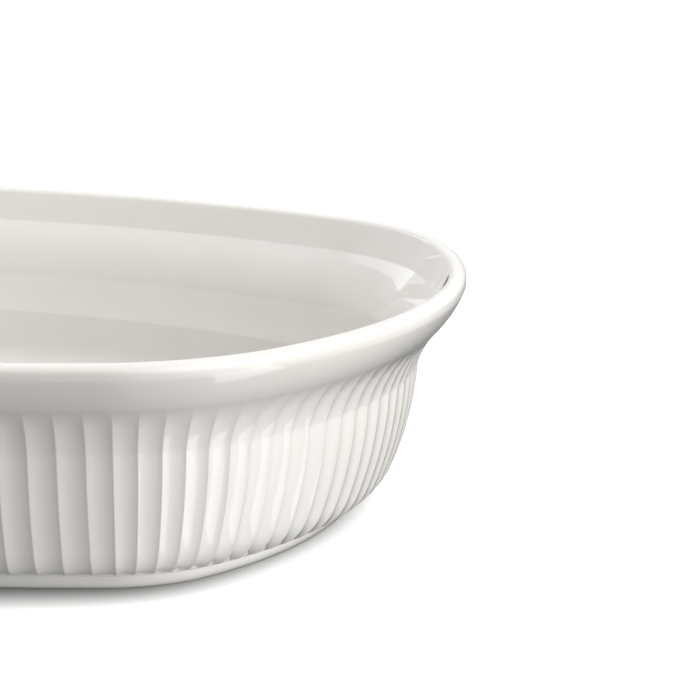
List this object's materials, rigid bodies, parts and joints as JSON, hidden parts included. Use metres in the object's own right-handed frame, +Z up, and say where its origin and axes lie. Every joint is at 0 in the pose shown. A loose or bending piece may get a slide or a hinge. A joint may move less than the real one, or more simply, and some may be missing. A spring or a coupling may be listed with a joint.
{
  "type": "baking dish",
  "caption": "Oblong white stoneware baking dish with bowed sides, a flared collar with a round rim bead, a wall of upright flutes and a plain foot ring.",
  "frame": {"origin": "on the table under the middle of the dish, in the plane of the foot's land", "axes": "+X along the dish's length, +Y along its width, +Z up out of the open mouth"},
  "size_m": [0.354, 0.249, 0.0675],
  "materials": {
    "glaze": "glossy white glaze",
    "foot": "glossy white glaze, with a bare biscuit land underneath"
  },
  "bodies": {
    "root": {"rim_bead": "glaze", "collar": "glaze", "fluted_wall": "glaze", "base_pan": "glaze", "foot_ring": "foot"}
  },
  "joints": []
}
